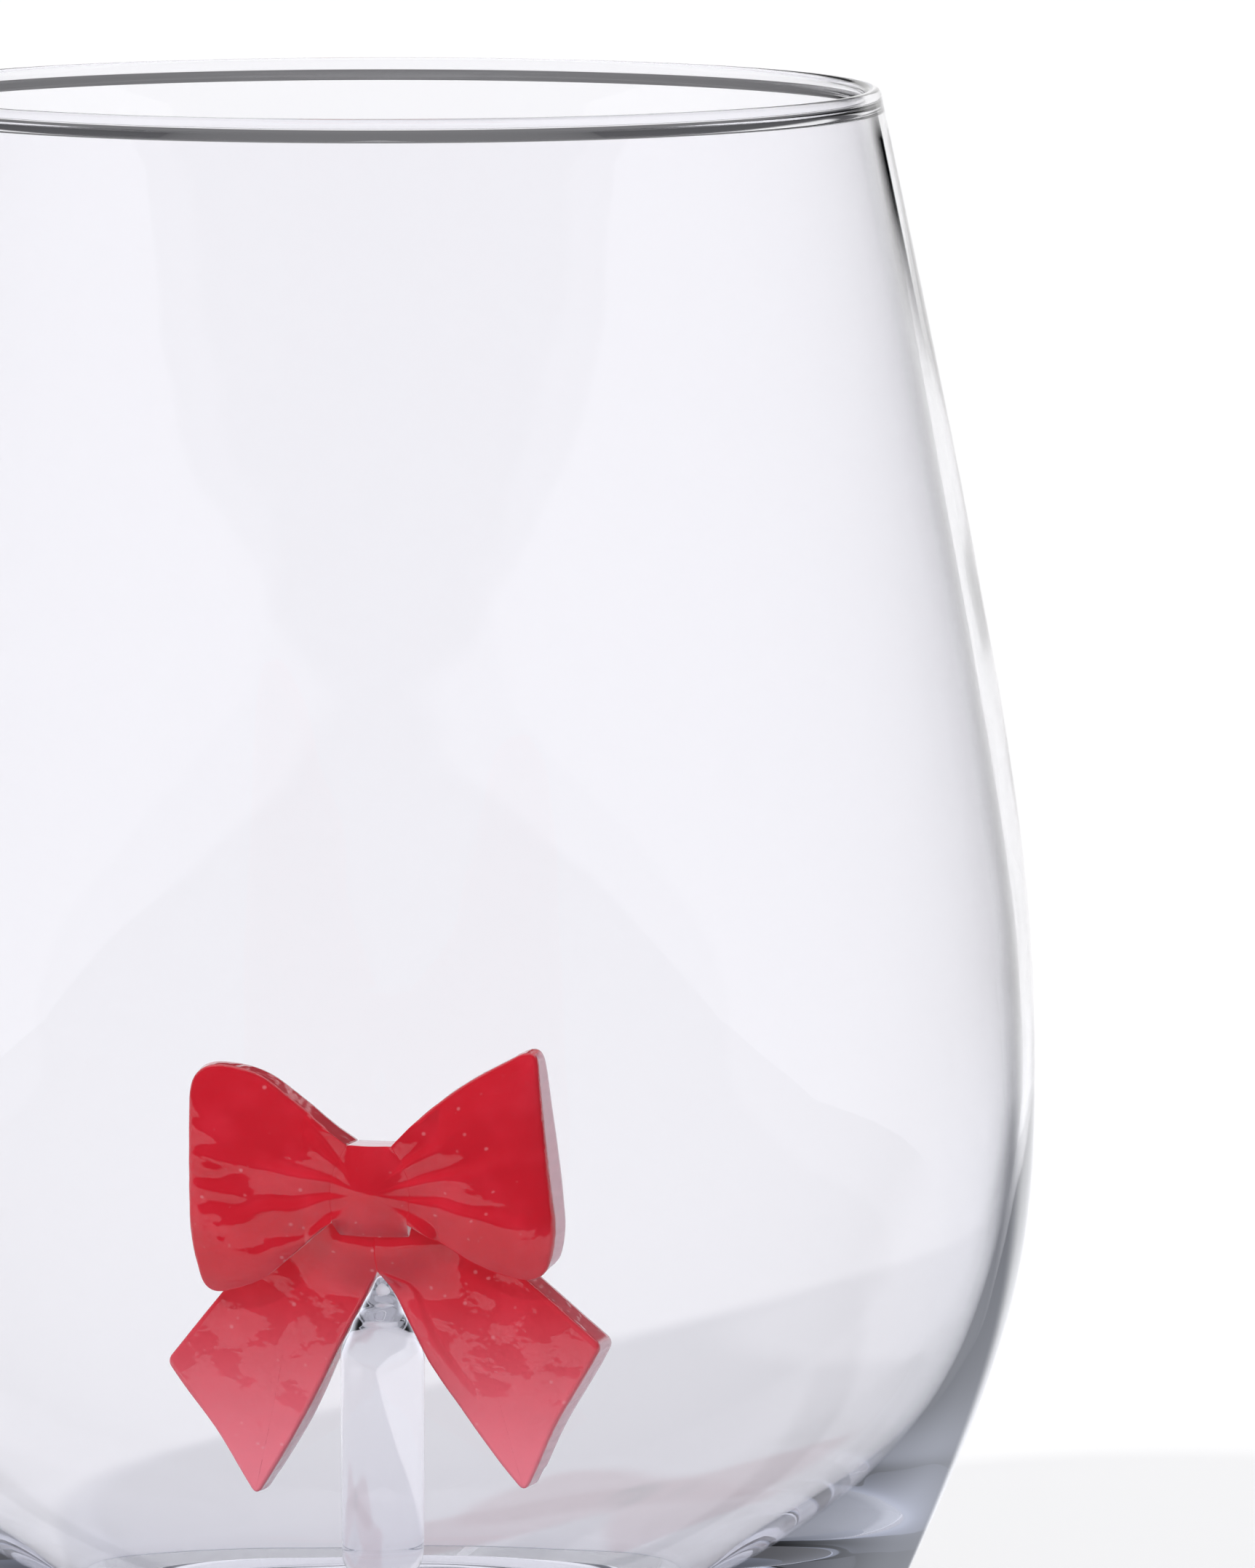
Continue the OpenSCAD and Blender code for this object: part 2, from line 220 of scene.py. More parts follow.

# %% [markdown]
# ## The bowl
# The bowl is one blown piece: a heavy base with a shallow hollow under it, a round belly and a wall that leans in
# to a fire-polished bead, with a short bevel from the bead to the thin wall. A lathe tool could turn it. Here its
# section is a chain of cubic curves, up the outside, over the bead and down the inside, carried once round the axis.
# Three marks follow the heights: where a grazed inside and a grazed outside get painted dark lines, and where the base
# gets a painted glow.

# %% Draw the bowl's section
import math


def at(*values):
    """A point or a direction as an array."""
    return np.array(values, dtype=float)


def curve(a, b, c, d, n):
    """Points on the cubic curve from a to d that is drawn towards b and c: the four points weighted by the four
    terms of (1 - t + t) cubed, for n even steps of t."""
    t = np.linspace(0, 1, n)[:, None]
    return (1 - t) ** 3 * a + 3 * (1 - t) ** 2 * t * b + 3 * (1 - t) * t ** 2 * c + t ** 3 * d


bowl_h, rim_r, bead_r, belly_r, belly_z = 121.4, 35.1, 0.6, 46.0, 51.0
heel_r, heel_z, base_r, base_land, punt_h = 33.2, 8.0, 27.5, 4.0, 1.5
rim_wall, shoulder_wall, belly_wall, floor_z, floor_r = 0.6, 2.1, 0.9, 6.5, 12.2
heel_pull, belly_pull_below, belly_pull_above, rim_pull, well_pull, floor_pull = 25.8, 13.8, 14.2, 48, 30, 8
crease = 0.05
rim_z, land_r = bowl_h - bead_r, base_r - base_land
rim_lean, bevel_lean, heel_slope = math.radians(12), math.radians(46), math.radians(65)
wall_way, bevel_way = at(math.sin(rim_lean), -math.cos(rim_lean)), at(math.sin(bevel_lean), -math.cos(bevel_lean))
heel_way = at(math.cos(heel_slope), math.sin(heel_slope))
heel, belly, rim = at(heel_r, heel_z), at(belly_r, belly_z), at(rim_r, rim_z)
heel_foot = at(heel_r - heel_z / math.tan(heel_slope), 0)
inner_belly = belly - at(belly_wall, 0)

quarter = math.pi / 2
turn = np.concatenate([np.linspace(0, quarter, 13)[1:], np.linspace(quarter, math.pi + bevel_lean, 25)[1:]])[:, None]
bead = rim - at(bead_r, 0) + bead_r * np.concatenate([np.cos(turn), np.sin(turn)], axis=1)
to_wall = rim - at(rim_wall / math.cos(rim_lean), 0) - bead[-1]
inner_top = bead[-1] + bevel_way * np.linalg.solve(np.stack([bevel_way, -wall_way], axis=1), to_wall)[0]

outside = np.concatenate([
    curve(at(0, punt_h), at(land_r / 3, punt_h), at(land_r * 2 / 3, punt_h), at(land_r, 0), 14),
    curve(at(base_r, 0), (at(base_r, 0) + 2 * heel_foot) / 3, (heel + 2 * heel_foot) / 3, heel, 16),
    curve(heel, heel + heel_pull * heel_way, belly - at(0, belly_pull_below), belly, 46)[1:],
    curve(belly, belly + at(0, belly_pull_above), rim + rim_pull * wall_way, rim, 56)[1:],
    bead, np.linspace(bead[-1], inner_top, 8)[1:]])
inside = np.concatenate([
    (inner_top + crease * wall_way)[None],
    curve(inner_top, rim - at(shoulder_wall, 0) + rim_pull * wall_way, inner_belly + at(0, belly_pull_above),
          inner_belly, 56)[1:],
    curve(inner_belly, inner_belly - at(0, well_pull), at(floor_r + floor_pull, floor_z), at(floor_r, floor_z), 56)[1:],
    at(floor_r / 2, floor_z)[None], at(0, floor_z)[None]])
bowl_section = np.concatenate([outside, inside])
height, is_inside = bowl_section[:, 1], np.arange(len(bowl_section)) >= len(outside)
# Painted shade: the heights where dark lines are painted on grazed skins of the bowl.
inner_line = is_inside * np.interp(height, [38, 46, 58, 66, 78, 104, 110], [0, 0.8, 1, 0.9, 0.6, 0.65, 1])
outer_line = ~is_inside * np.interp(height, [102, 114, 119, 120], [0, 1, 1, 0])
# Painted glow: the heights where the base is made to glow.
glow = ~is_inside * np.interp(height, [0, 6, 30, 45, 60], [0.35, 0.5, 0.5, 0.35, 0])
print("section of the bowl:", len(bowl_section), "points")


# %% Carry it round
def turned(section, around):
    """A section of (radius, height) points carried round the axis: x and y are the radius times the cosine and
    sine of the turn."""
    turn = np.linspace(0, 2 * math.pi, around, endpoint=False)
    radius, height = section[:, :1], section[:, 1:]
    return np.stack([radius * np.cos(turn), radius * np.sin(turn), height + 0 * turn], axis=-1)


bowl_around = 256
all_round = np.ones((1, bowl_around))
bowl = skin("bowl_glass", turned(bowl_section, bowl_around), inner_line=inner_line[:, None] * all_round,
            outer_line=outer_line[:, None] * all_round, glow=glow[:, None] * all_round)
dress(bowl, "bowl", glass_finish)

# %% [markdown]
# ## The stalk
# The stalk is a clear rod, welded to the floor at a flared foot, with a neck above the weld and a point that sits
# in the notch between the tails. It is turned like the bowl, and its corners are rounded, as a flame leaves them.
# The point was gathered hot, so it is a little lumpy: two waves round and along it press its surface in.

# %% Turn the stalk
knot_z, knot_half_h, knot_w, knot_waist, knot_foot = 43.5, 3.8, 5.8, 2.6, 0.8
stalk_r, neck_r, weld_r, neck_z = 3.0, 2.6, 4.3, 9.7
notch_z, notch_angle = knot_z - knot_half_h - 2.9, math.radians(27.5)
weld_gap, stalk_around = 0.02, 96
shoulder_z = notch_z - stalk_r / math.tan(notch_angle)
tip = at(0.3, notch_z - 0.3 / math.tan(notch_angle))
shoulder = at(stalk_r, shoulder_z)
slant = (tip - shoulder) / np.linalg.norm(tip - shoulder)

stalk_section = np.concatenate([
    at(0, floor_z + weld_gap)[None], at(2, floor_z + weld_gap)[None],
    curve(at(weld_r, floor_z + weld_gap), at(neck_r, floor_z), at(neck_r, 7.8), at(neck_r, neck_z), 16),
    curve(at(neck_r, neck_z), at(neck_r, neck_z + 1.3), at(stalk_r, neck_z + 1.3), at(stalk_r, neck_z + 2.6), 12)[1:],
    np.linspace(at(stalk_r, neck_z + 3.2), shoulder - at(0, 1.4), 16),
    curve(shoulder - at(0, 1.2), shoulder - at(0, 0.4), shoulder + 0.4 * slant, shoulder + 1.2 * slant, 12),
    np.linspace(shoulder + 1.4 * slant, tip - 0.6 * slant, 24),
    curve(tip - 0.4 * slant, tip - 0.1 * slant, at(0.2, tip[1] - 0.04), at(0, tip[1] - 0.04), 8)])


def gathered(grid, low, high):
    """The grid with its turned surface pressed in between two heights by up to a tenth, in two crossing waves."""
    turn, height = np.arctan2(grid[..., 1], grid[..., 0]), grid[..., 2]
    press = np.clip((height - low) / 2, 0, 1) * np.clip((high - height) / 0.5, 0, 1)
    lumps = 1 - 0.025 * press * (2 + np.sin(3 * turn + 2.1 * height) + np.sin(2 * turn - 3.7 * height))
    return grid * np.stack([lumps, lumps, np.ones_like(lumps)], axis=-1)


# Painted glow on the stalk's point, from its shoulder up.
tip_glow = np.interp(stalk_section[:, 1:], [shoulder_z - 1, shoulder_z + 1], [0, 1]) * np.ones((1, stalk_around))
stalk = skin("stalk_rod", gathered(turned(stalk_section, stalk_around), shoulder_z, notch_z), glow=tip_glow)
dress(stalk, "stalk", glass_finish)

# %% [markdown]
# ## Outlines of the bow
# The bow is pressed in a mould: flat behind, swollen in front, with edges that slope so that it leaves the mould.
# Each piece starts as an outline seen from the front. It could be drawn by hand as a curve, but corners with a
# rounding are the plainest way to write one down, and a run of short curves round them gives an even ring of points.

# %% Round an outline
def rounded(corners, count, steps=12):
    """An even ring of points, clockwise as seen from the front. Each corner (x, z, rounding) becomes the
    quadratic curve between two points, one rounding away from it on each side. The ring is then measured and cut
    into equal lengths."""
    here, cut = corners[:, None, :2], corners[:, None, 2:]
    before, after = np.roll(here, 1, axis=0), np.roll(here, -1, axis=0)
    begin = here + cut * (before - here) / np.linalg.norm(before - here, axis=2, keepdims=True)
    end = here + cut * (after - here) / np.linalg.norm(after - here, axis=2, keepdims=True)
    t = np.linspace(0, 1, steps)[None, :, None]
    path = ((1 - t) ** 2 * begin + 2 * (1 - t) * t * here + t ** 2 * end).reshape(-1, 2)
    ring = np.concatenate([path, path[:1]])
    along = np.concatenate([[0], np.cumsum(np.linalg.norm(np.diff(ring, axis=0), axis=1))])
    even = np.linspace(0, along[-1], count, endpoint=False)
    ring = np.stack([np.interp(even, along, ring[:, 0]), np.interp(even, along, ring[:, 1])], axis=1)
    turn = np.sum(ring[:, 0] * np.roll(ring[:, 1], -1) - ring[:, 1] * np.roll(ring[:, 0], -1))
    return ring[::-1] if turn > 0 else ring


def knot_half(z):
    """Half the knot's width at a height: it loses a part that grows with the square of the way from its middle,
    more above than below."""
    way = (z - knot_z) / knot_half_h
    return (knot_w - np.where(way > 0, knot_waist, knot_foot) * way ** 2) / 2


def knot_side(side, count):
    """The knot's barrel side, from low to high."""
    z = np.linspace(knot_z - knot_half_h, knot_z + knot_half_h, count)
    return np.stack([side * knot_half(z), z], axis=1)


def loop_corners(side, reach, rise, drop, lean, corner, top_bend):
    """Corners of a loop: from the low end of the knot's side, round the outside, back to its high end."""
    seam = knot_side(side, 7)[1:]
    free = np.array([
        (side * reach * 0.62, knot_z - drop * 0.88, 2), (side * (reach - 1), knot_z - drop, 1.6),
        (side * reach, knot_z - drop * 0.5, 2), (side * (reach - lean), knot_z + rise, corner),
        (side * reach * top_bend[0], knot_z + rise * top_bend[1], 2), (side * reach * 0.3, knot_z + rise * 0.57, 1.2)])
    sharp = np.concatenate([seam[::-1], np.full((6, 1), 0.15)], axis=1)
    return np.concatenate([free, sharp])


def tail_corners(side, reach, corner_drop, tip_x, tip_drop):
    """Corners of a tail: from the notch along its inner edge to its point, up its cut end and behind the knot."""
    lip = stalk_r + 0.4
    point, outer = at(side * tip_x, knot_z - tip_drop), at(side * reach, knot_z - corner_drop)
    cut = (point + outer) / 2 - at(side * 0.7, 0)
    return np.array([
        (0, notch_z, 0.1), (side * lip, notch_z - lip / math.tan(notch_angle), 0.4), (*point, 1), (*cut, 2),
        (*outer, 0.6), (side * 9.7, knot_z - 6.4, 2), (side * 5.2, knot_z - 2, 2), (0, knot_z - 0.4, 0.1)])


# %% [markdown]
# ## Pressing the pieces
# From the outline, rings of points shrink to a hub in front and behind. In front they swell, round the edge they
# turn through an arc, and down the side they follow the mould's slope. Loops have pleats that fan out from the
# knot. Pressed glass keeps small dents where it cooled, so a few long ripples are added in front, and the mould
# leaves fine ticks down the sides. Edges that face down are cut back behind, so that no flat underside shows.
# A sculpting brush could do all this by hand, but formulas give the same dents each time.

# %% Fronts: pillow, pleats, ripples and a fold
def ramp(x):
    """x, held between 0 and 1."""
    return np.clip(x, 0, 1)


def evened(values, reach):
    """Values round a ring, each replaced by the mean of those from a reach before it to a reach after it."""
    return np.mean([np.roll(values, k, axis=0) for k in range(-reach, reach + 1)], axis=0)


def ripples(x, z, seed, longest, shortest, height, stretch=1.0):
    """A sum of 24 sine waves over the face with lengths between two limits, each as high as it is long. A stretch
    over 1 turns them towards level wrinkles."""
    dice = np.random.default_rng(seed)
    length = shortest * (longest / shortest) ** dice.random(24)
    turn = dice.random(24) * 2 * math.pi
    phase = dice.random(24) * 2 * math.pi
    across, up = np.cos(turn) / stretch * 2 * math.pi / length, np.sin(turn) * 2 * math.pi / length
    return height * np.sin(x[..., None] * across + z[..., None] * up + phase) @ (length / longest) / 24 ** 0.5


def pleats(x, z, share, reach):
    """Waves of the turn round the knot, about 27 degrees from one to the next, that fade towards the outer side.
    Their lower flanks are longer than their upper ones."""
    turn = np.degrees(np.arctan2(z - knot_z, np.abs(x)))
    fade = ramp(2 - 2 * np.hypot(x, z - knot_z) / reach) * (1 - share ** 6)
    phase = 2 * math.pi * (turn - 11 + 4 * ripples(x, z, 8, 9, 3, 1.0)) / 27
    return 0.14 * fade * np.cos(phase - 0.5 * np.cos(phase))


def barrel(x, z):
    """The knot's swell: full along its middle, level with the loops and their pleats at its sides, less towards its
    top. Its foot sinks to the tails, first in the middle and, below the loops, at its corners too."""
    across, way = np.abs(x) / knot_half(z), (z - knot_z) / knot_half_h
    swell = 0.7 * (1 - across ** 2) ** 2 * (1 - 0.45 * way ** 2)
    sunk = 1.3 * ramp((0.1 - way) / 1.1) ** 2 * (1 - across ** 4 * ramp((way + 1) / 0.4))
    return 0.1 + swell + pleats(x, z, 0, 13) * across ** 4 - sunk


def fold(ring, share):
    """A step up beside the inner edge of a tail, that fades where the edge runs away from the axis."""
    inner_edge = ramp((6.8 - np.abs(ring[:, 0])) / 2.4) * (ring[:, 1] <= notch_z)
    rise = ramp((share - 0.66) / 0.1)
    return (0.3 * rise * rise * (3 - 2 * rise) - 0.25 * ramp((share - 0.76) / 0.24) ** 2) * inner_edge


# %% Press a piece
def pressed(name, ring, hub, back, edge, slope, seam, square, edge_round, edge_lean, relief, pale_top=0.0):
    """Rings round a hub. The front stands before the back by the edge plus a relief. Round its rim an arc turns
    from a lean to square, the side slopes outwards to the back, or inwards where the outline faces down, and the
    back is flat. Nearer to the axis than the seam the sides stay straight, and nearer than the square the edges
    stay square. The upright sides that face left and right are marked for painted light, and the top where it is asked
    for."""
    ahead, behind = np.roll(ring, -1, axis=0), np.roll(ring, 1, axis=0)
    along = (ahead - behind) / np.linalg.norm(ahead - behind, axis=1, keepdims=True)
    out = np.stack([-along[:, 1], along[:, 0]], axis=1)
    spoke = (ring - hub) / np.linalg.norm(ring - hub, axis=1, keepdims=True)
    loose = ramp((np.abs(ring[:, 0]) - seam) / 2)[:, None]
    upper = evened(ramp((out[:, 1:] + 0.8) / 0.2), 14)
    lean = slope * (loose * evened(out[:, :1] ** 2, 14) + 2 * upper - 2)
    bend = edge_round * ramp((np.abs(ring[:, 0]) - square) / 0.6)[:, None] * upper
    inner = ring - bend * (1 - math.sin(edge_lean)) * out

    share = np.concatenate([np.linspace(0, 0.8, 34), np.linspace(0.81, 1, 20)])[:, None, None]
    face = hub + share * (inner - hub)
    spread = np.linalg.norm(ring - hub, axis=1)
    roundness = spread / evened(spread, 30)
    front = back - edge - relief(face[..., 0], face[..., 1], share[..., 0] * roundness, ring)
    turn = np.linspace(edge_lean, math.pi / 2, 8)[1:, None, None]
    rim = inner + bend * out * (np.sin(turn) - math.sin(edge_lean))
    rim_y = front[-1] + bend[:, 0] * (math.cos(edge_lean) - np.cos(turn[..., 0]))
    fall = np.linspace(0, 1, 10)[1:, None, None]
    ticks = ripples(ring[:, 0], ring[:, 1], 3, 1.6, 0.5, 0.05)[:, None] * loose
    side = ring + lean * spoke * fall + ticks * out * np.sin(math.pi * fall)
    side_y = rim_y[-1] + (back - rim_y[-1]) * fall[..., 0]
    rear = hub + np.linspace(0.98, 0, 14)[:, None, None] * (side[-1] - hub)
    flat = np.concatenate([face, rim, side, rear])
    depth = np.concatenate([front, rim_y, side_y, np.full(rear.shape[:2], back)])

    # Painted light: sides facing left and right, and the top where asked, are marked to look paler.
    sideways = loose[:, 0] * ramp((np.abs(out[:, 0]) - 0.6) / 0.3)
    pale = np.zeros(flat.shape[:2])
    pale[len(face) + len(rim):-len(rear)] = np.maximum(sideways, pale_top * ramp((out[:, 1] - 0.6) / 0.3))
    return skin(name, np.stack([flat[..., 0], depth, flat[..., 1]], axis=-1), pale=pale)


# %% [markdown]
# ## Red glass
# The bow is red glass, so dense that it looks opaque, with a fire-polished gloss. Its deep colour shows where it
# mirrors the dark room, and it turns pink where it mirrors the white table, so the gloss has to be sharp. A flat red
# would look like plastic: real pressed glass has cloudy streaks, pale specks of trapped air and a skin that is not
# quite even. They could be painted on, but noise in the piece's own coordinates has no seams. Its thin upright sides
# let light in and the knot's top faces the light, so both get painted light, a paler colour. The tails get painted
# light too, a lighter red low down near the white table. Some light gets through, so lamps meet a pale red filter
# and the bow's shadow stays light.

# %% Make the red glass
def red_glass():
    """Red glass: a deep red that clouds a little, painted light that makes it lighter low down and paler on its sides,
    specks, a gloss over dents.
    """
    material, tree = finish_tree("red_glass")
    place = Wire.node(tree, "ShaderNodeTexCoord", out="Object")
    height = place.along((0, 0, 1))
    cloud = Wire.node(tree, "ShaderNodeTexNoise", None, {"Vector": place, "Scale": 260.0, "Detail": 3.0})
    cells = Wire.node(tree, "ShaderNodeTexVoronoi", {"feature": "F1"}, {"Vector": place, "Scale": 900.0},
                      out="Distance")
    chance = Wire.node(tree, "ShaderNodeTexNoise", None, {"Vector": place, "Scale": 900.0, "Detail": 0.0})
    speck = (1 - cells.between(0.05, 0.2)) * chance.between(0.52, 0.62)
    # Painted light: a paler colour on the marked sides and top.
    pale = marked(tree, "pale")
    deep = cloud.between(0.4, 0.75).blend((0.66, 0.004, 0.018, 1), (0.74, 0.012, 0.032, 1))
    # Painted light: a lighter red low down, near the white table.
    low = height.between(0.038, 0.018).blend(deep, (1.0, 0.22, 0.28, 1))
    colour = (pale * 0.95).blend((speck * 0.35).blend(low, (0.95, 0.42, 0.45, 1)), (1.0, 0.64, 0.70, 1))
    grain = Wire.node(tree, "ShaderNodeTexNoise", None, {"Vector": place, "Scale": 700.0, "Detail": 2.0})
    skin_tilt = Wire.node(tree, "ShaderNodeBump", None, {"Strength": 0.09, "Distance": 0.0006, "Height": grain})
    surface = Wire.node(tree, "ShaderNodeBsdfPrincipled", None, {
        "Base Color": colour, "Roughness": 0.005 + speck * 0.2, "IOR": 1.56, "Normal": skin_tilt})
    show(tree, filtered(surface, (0.86, 0.74, 0.75, 1.0)))
    return material


red_finish = red_glass()
print("finish:", red_finish.name)

# %% [markdown]
# ## The bow's five pieces
# Two loops lie in front, the knot joins their inner ends, and two tails hang behind. They are pressed one by one,
# as on the bench, because each has its own relief. Each is kept out of mirror images: a gloss on one piece then
# shows the table and the room, and no dark double of its neighbour.

# %% Press the five pieces
layer_y, tail_t, draft = 0.4, 2.8, 0.4
around = 420
swell_lean = math.radians(26)
rise_from, rise_over, rise_half_w, rise_h = 34.5, 4.5, 6.5, 1.8
knot_side_x = knot_w / 2


def dress_red(piece, node):
    """Lets a red piece stand for a solid, and keeps it out of mirror images."""
    dress(piece, node, red_finish)
    piece.visible_glossy = False


def loop_piece(name, node, side, reach, rise, drop, lean, corner, top_bend, wrinkle, seed):
    """A loop: a pillow of 0.9 times (1 less share to the fourth), which stays full beside the knot, pleats that fan
    from the knot, ripples all over and level wrinkles towards its outer side."""
    def relief(x, z, share, ring):
        edge = share * ramp((np.abs(x) - knot_side_x) / 2)
        inside = 1 - edge ** 8
        outer = ramp((np.abs(x) - 7) / 4)
        return (0.9 * (1 - edge ** 4) + pleats(x, z, edge, reach) + inside * ripples(x, z, seed, 9, 3, 0.05)
                + inside * outer * ripples(x, z, seed + 1, 2.6, 1.0, wrinkle, 2.5))
    hub = at(side * reach * 0.58, knot_z + (rise - drop) * 0.3)
    ring = rounded(loop_corners(side, reach, rise, drop, lean, corner, top_bend), around)
    piece = pressed(name, ring, hub, back=-layer_y, edge=2.2, slope=draft, seam=knot_side_x, square=knot_side_x,
                    edge_round=0.6, edge_lean=swell_lean, relief=relief)
    dress_red(piece, node)


def tail_piece(name, node, side, reach, corner_drop, tip_x, tip_drop, folded, seed):
    """A tail: a flat ribbon end with long ripples that rises to the knot, and a fold along its inner edge where it
    has one."""
    def relief(x, z, share, ring):
        rise = ramp((z - rise_from) / rise_over) * ramp(1 - (x / rise_half_w) ** 2)
        return ripples(x, z, seed, 9, 2.2, 0.10) + folded * fold(ring, share) + rise_h * rise * rise * (3 - 2 * rise)
    hub = at(side * reach * 0.44, knot_z - corner_drop * 0.85)
    ring = rounded(tail_corners(side, reach, corner_drop, tip_x, tip_drop), around)
    piece = pressed(name, ring, hub, back=tail_t - layer_y, edge=tail_t, slope=draft, seam=4.0, square=0.05,
                    edge_round=0.35, edge_lean=0.0, relief=relief)
    dress_red(piece, node)


loop_piece("left_loop_red", "left_loop", -1, 13.5, 9.6, 8.9, 0.0, 2.7, (0.64, 0.95), 0.07, 11)
loop_piece("right_loop_red", "right_loop", 1, 13.3, 11.3, 7.0, 1.6, 1.6, (0.5, 0.76), 0.02, 23)
tail_piece("left_tail_red", "left_tail", -1, 15.9, 14.2, 9.4, 25.5, 0, 31)
tail_piece("right_tail_red", "right_tail", 1, 16.1, 11.7, 10.6, 24.0, 1, 47)

side_steps = 60
knot_ring = np.concatenate([knot_side(1, side_steps), knot_side(-1, side_steps)[::-1]])
knot_corners = np.concatenate([knot_ring, np.full((2 * side_steps, 1), 0.02)], axis=1)
knot_corners[[0, side_steps - 1, side_steps, -1], 2] = 0.05
# The knot's top is marked for painted light.
knot = pressed(
    "knot_red", rounded(knot_corners, around, steps=3), at(0, knot_z), back=-layer_y, edge=3.0, slope=0, seam=knot_w,
    square=knot_w, edge_round=0, edge_lean=swell_lean, pale_top=1.0,
    relief=lambda x, z, share, ring: barrel(x, z) + ripples(x, z, 5, 6, 2, 0.04) * (1 - share ** 8))
dress_red(knot, "knot")

# %% [markdown]
# ## The camera
# The photograph was taken from a little above the rim with a long lens, and the bow is turned fifteen degrees
# away from it. A camera could be nudged by hand until it fits. Here its place and lens were worked out from the rim's
# ellipse and the outline, so they are plain numbers.

# %% Place the camera
from mathutils import Vector

bow_turn = math.radians(15)
right, away = at(math.cos(bow_turn), math.sin(bow_turn), 0), at(-math.sin(bow_turn), math.cos(bow_turn), 0)
up = at(0, 0, 1)
distance, eye_height, aim_right, aim_height = 1000, 183.9, 17.308, 72.32
eye = (-distance * away + eye_height * up) * MM
aim = (aim_right * right + aim_height * up) * MM
frame_height, focal_length = 2156, 19668.4

lens = bpy.data.cameras.new("camera")
lens.sensor_width = 36
lens.lens = focal_length * lens.sensor_width / frame_height
lens.clip_start, lens.clip_end = 0.01, 100
camera = bpy.data.objects.new("camera", lens)
camera.location = eye
camera.rotation_euler = Vector(aim - eye).to_track_quat("-Z", "Y").to_euler()
bpy.context.scene.collection.objects.link(camera)
bpy.context.scene.camera = camera
print("camera at", np.round(eye, 3), "lens", round(lens.lens, 1), "mm")

# %% [markdown]
# ## Table, key light and room
# The glass stands on a white table that runs into white. One soft key light from the left and above throws the
# shadow to the right and back. Glass shows its surroundings, so a photographer plans them with white boards and
# black cards. Boards and cards would stand in the way of the other views, so here the kind of look decides. Looks
# through the glass meet white below a dark ceiling, which draws the rim. Mirror images meet a dark room with a
# white back. On the near wall they stay dark beside the glass, and on the bow the white table ends in front of it.
# The lamp is hidden from mirror images and looks through glass, where it would wash out the shadow.

# %% Tell looks apart
def bearing(place):
    """The turn of a place or direction round the axis, from straight behind towards the right."""
    return place.along(right).maths("ARCTAN2", place.along(away))


def rays(tree):
    """Which kind of look asks: by the camera, mirrored at least once on its way, or only through glass."""
    path = tree.nodes.new("ShaderNodeLightPath")
    camera_look = Wire(path.outputs["Is Camera Ray"])
    lit_path = Wire(path.outputs["Diffuse Depth"]).maths("LESS_THAN", 0.5)
    mirrored = Wire(path.outputs["Glossy Depth"]).maths("GREATER_THAN", 0.5) * lit_path
    through = Wire(path.outputs["Is Transmission Ray"]) * (1 - mirrored) * lit_path
    return camera_look, mirrored, through


def skins(tree):
    """How many skins of glass a look has passed."""
    return Wire.node(tree, "ShaderNodeLightPath", out="Transmission Depth")


def on_wall(tree):
    """1 for mirror images on the two skins of the near wall, 0 for those on the bow and deeper."""
    return skins(tree).maths("LESS_THAN", 2.5)


def beside(place):
    """0 for places and directions behind the glass, 1 for those beside it and in front. The glass's own wall
    counts as beside from a smaller turn on than the bow."""
    turn = bearing(place).maths("ABSOLUTE") * (1 + 0.7 * on_wall(place.tree))
    return turn.between(math.radians(50), math.radians(70))


def dim_room(tree):
    """The dark room in mirror images, lighter for those inside the stalk, which pass more than four skins."""
    return skins(tree).maths("GREATER_THAN", 4.5).blend((0.10, 0.10, 0.105, 1), (0.5, 0.5, 0.52, 1))


# %% Lay the table
table_front, edge_blur = 0.11, 0.002


def table_white():
    """Matt white, lifted to full white where it is looked at, with its shadows kept. Mirror images on the near wall
    find it dark beside the glass, and those on the bow find that it ends at its front edge."""
    material, tree = finish_tree("table_white")
    place = Wire.node(tree, "ShaderNodeTexCoord", out="Object")
    camera_look, mirrored, through = rays(tree)
    front = place.along(-away).between(table_front - edge_blur, table_front + edge_blur)
    wall = on_wall(tree)
    dark = mirrored * (wall * beside(place) + (1 - wall) * front)
    matt = Wire.node(tree, "ShaderNodeBsdfDiffuse", None, {"Color": (0.9, 0.9, 0.9, 1)})
    seen = (camera_look + mirrored + through).maths("MINIMUM", 1.0)
    own_light = seen.blend((0, 0, 0, 1), (0.15, 0.15, 0.15, 1))
    lift = Wire.node(tree, "ShaderNodeEmission", None, {"Color": own_light, "Strength": 1.0})
    white = Wire.node(tree, "ShaderNodeAddShader", None, {0: matt, 1: lift})
    gloom = Wire.node(tree, "ShaderNodeEmission", None, {"Color": dim_room(tree), "Strength": 1.0})
    show(tree, Wire.node(tree, "ShaderNodeMixShader", None, {0: dark, 1: white, 2: gloom}))
    return material


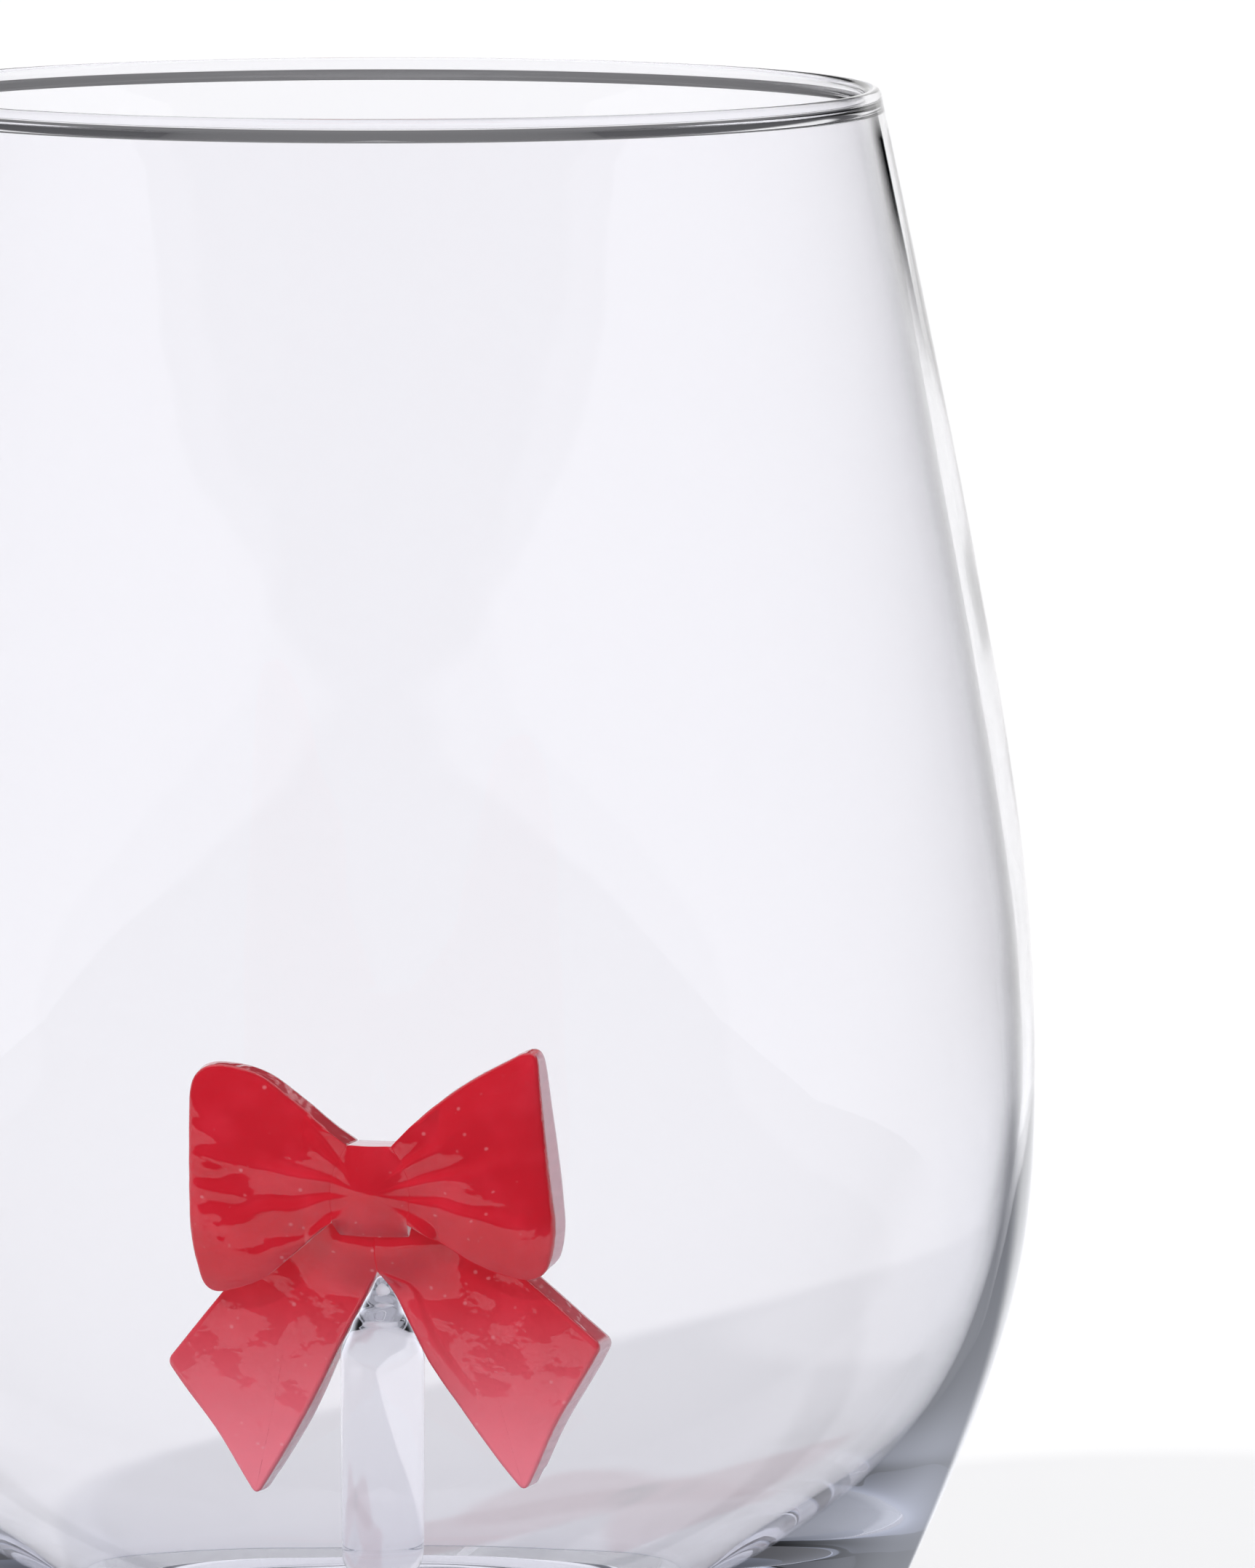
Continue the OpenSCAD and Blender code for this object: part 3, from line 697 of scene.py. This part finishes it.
far = 4000 * MM
sheet = bpy.data.meshes.new("table")
sheet.from_pydata([(-far, -far, 0), (far, -far, 0), (far, far, 0), (-far, far, 0)], [], [(0, 1, 2, 3)])
sheet.materials.append(table_white())
table = bpy.data.objects.new("table", sheet)
bpy.context.scene.collection.objects.link(table)
print("table:", 2 * far, "m wide, and its front edge", table_front, "m before the axis in mirror images on the bow")

# %% Hang the key light
key_bearing, key_height = math.radians(28), math.radians(41.7)
to_key = (math.cos(key_height) * (-math.sin(key_bearing) * right - math.cos(key_bearing) * away)
          + math.sin(key_height) * up)
lamp = bpy.data.lights.new("key", "SUN")
lamp.energy = 2.2
lamp.angle = math.radians(2)
key = bpy.data.objects.new("key", lamp)
key.rotation_euler = Vector(to_key).to_track_quat("Z", "Y").to_euler()
key.visible_transmission = key.visible_glossy = False
bpy.context.scene.collection.objects.link(key)
print("key light from", np.round(to_key, 2))


# %% Paint the room
def room():
    """White for the camera, white below a dark ceiling for looks through glass, a dark room with a white back and
    a gap in it for mirror images, and an even grey for everything else."""
    world = bpy.data.worlds.new("room")
    world.use_nodes = True
    tree = world.node_tree
    tree.nodes.clear()
    toward = Wire.node(tree, "ShaderNodeTexCoord", out="Generated")
    camera_look, mirrored, through = rays(tree)
    height = toward.along(up)
    ceiling = height.between(0.035, 0.09).blend((1, 1, 1, 1), (0.2, 0.2, 0.205, 1))
    gap = height.between(0.22, 0.28) * height.between(0.44, 0.38)
    back = (1 - beside(toward)) * (1 - gap)
    seen_mirrored = back.blend(dim_room(tree), (1, 1, 1, 1))
    colour = mirrored.blend((0.5, 0.5, 0.51, 1), seen_mirrored)
    colour = through.blend(colour, ceiling)
    colour = camera_look.blend(colour, (1, 1, 1, 1))
    light = Wire.node(tree, "ShaderNodeBackground", None, {"Color": colour, "Strength": 1.0})
    tree.links.new(light.socket, tree.nodes.new("ShaderNodeOutputWorld").inputs["Surface"])
    bpy.context.scene.world = world


room()
bpy.context.scene.view_settings.view_transform = "Standard"
print("room:", bpy.context.scene.world.name)
